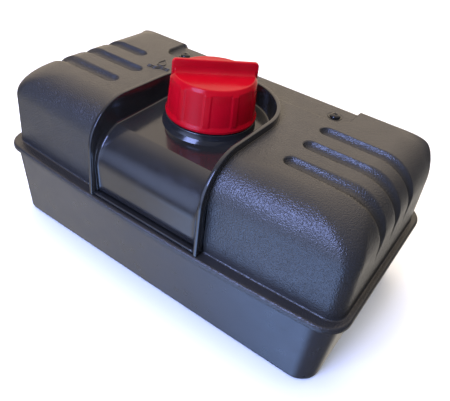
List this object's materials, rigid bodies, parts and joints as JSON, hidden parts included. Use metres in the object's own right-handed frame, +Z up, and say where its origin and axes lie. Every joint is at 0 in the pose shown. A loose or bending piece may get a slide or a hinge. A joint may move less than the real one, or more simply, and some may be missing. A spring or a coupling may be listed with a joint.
{
  "type": "fresh water tank",
  "caption": "Low oblong fresh water tank: smooth tub, grained cover with grooved ends, glossy filler channel and a large red screw cap with a finger bar.",
  "frame": {"origin": "middle of the footprint, at the level of the base", "axes": "+Z up, +X along the tank's length to the right, -Y towards the open end of the filler channel"},
  "size_m": [0.4, 0.216, 0.2165],
  "materials": {
    "tub_satin": "satin",
    "cover_grained": "fine moulded stipple grain",
    "channel_gloss": "glossy",
    "cap_red": "satin gloss",
    "seal_rubber": "matte",
    "screw_black": "gloss",
    "washer_black": "satin",
    "insert_brass": "knurled",
    "valve_plastic": "satin",
    "valve_white": "satin",
    "spring_steel": "bright wire",
    "vent_membrane": "matte"
  },
  "bodies": {
    "tank": {"lower_tank": "tub_satin", "seam_seal": "seal_rubber", "upper_cover": "cover_grained", "filler_channel": "channel_gloss", "channel_seal": "seal_rubber", "filler_neck": "channel_gloss", "neck_gasket": "seal_rubber", "neck_locknut": "valve_plastic", "ledge_screws": "screw_black", "ledge_washers": "washer_black", "ledge_inserts": "insert_brass", "outlet_body": "valve_plastic", "outlet_gasket": "seal_rubber", "outlet_locknut": "valve_plastic", "outlet_spring": "spring_steel", "outlet_strainer": "valve_white"},
    "gasket_ring": {"cap_gasket": "seal_rubber"},
    "cap": {"screw_cap": "cap_red", "vent_filter": "vent_membrane"},
    "poppet": {"outlet_poppet": "valve_white", "poppet_oring": "seal_rubber"}
  },
  "joints": [
    {"name": "cap_rise", "type": "slide", "parent": "tank", "child": "gasket_ring", "axis": [0, 0, 1], "range_m": [0, 0.0361]},
    {"name": "cap_turn", "type": "hinge", "parent": "gasket_ring", "child": "cap", "pos_m": [0, -0.0093, 0.2], "axis": [0, 0, 1], "range_deg": [0, 1080]},
    {"name": "poppet_slide", "type": "slide", "parent": "tank", "child": "poppet", "axis": [0, 0, 1], "range_m": [0, 0.005], "stiffness_N_per_m": 400, "springref_m": -0.004, "deforming": ["outlet_spring"]}
  ],
  "couplings": [
    {"joint": "cap_rise", "follows": "cap_turn", "m_per_rad": 0.0019099}
  ]
}
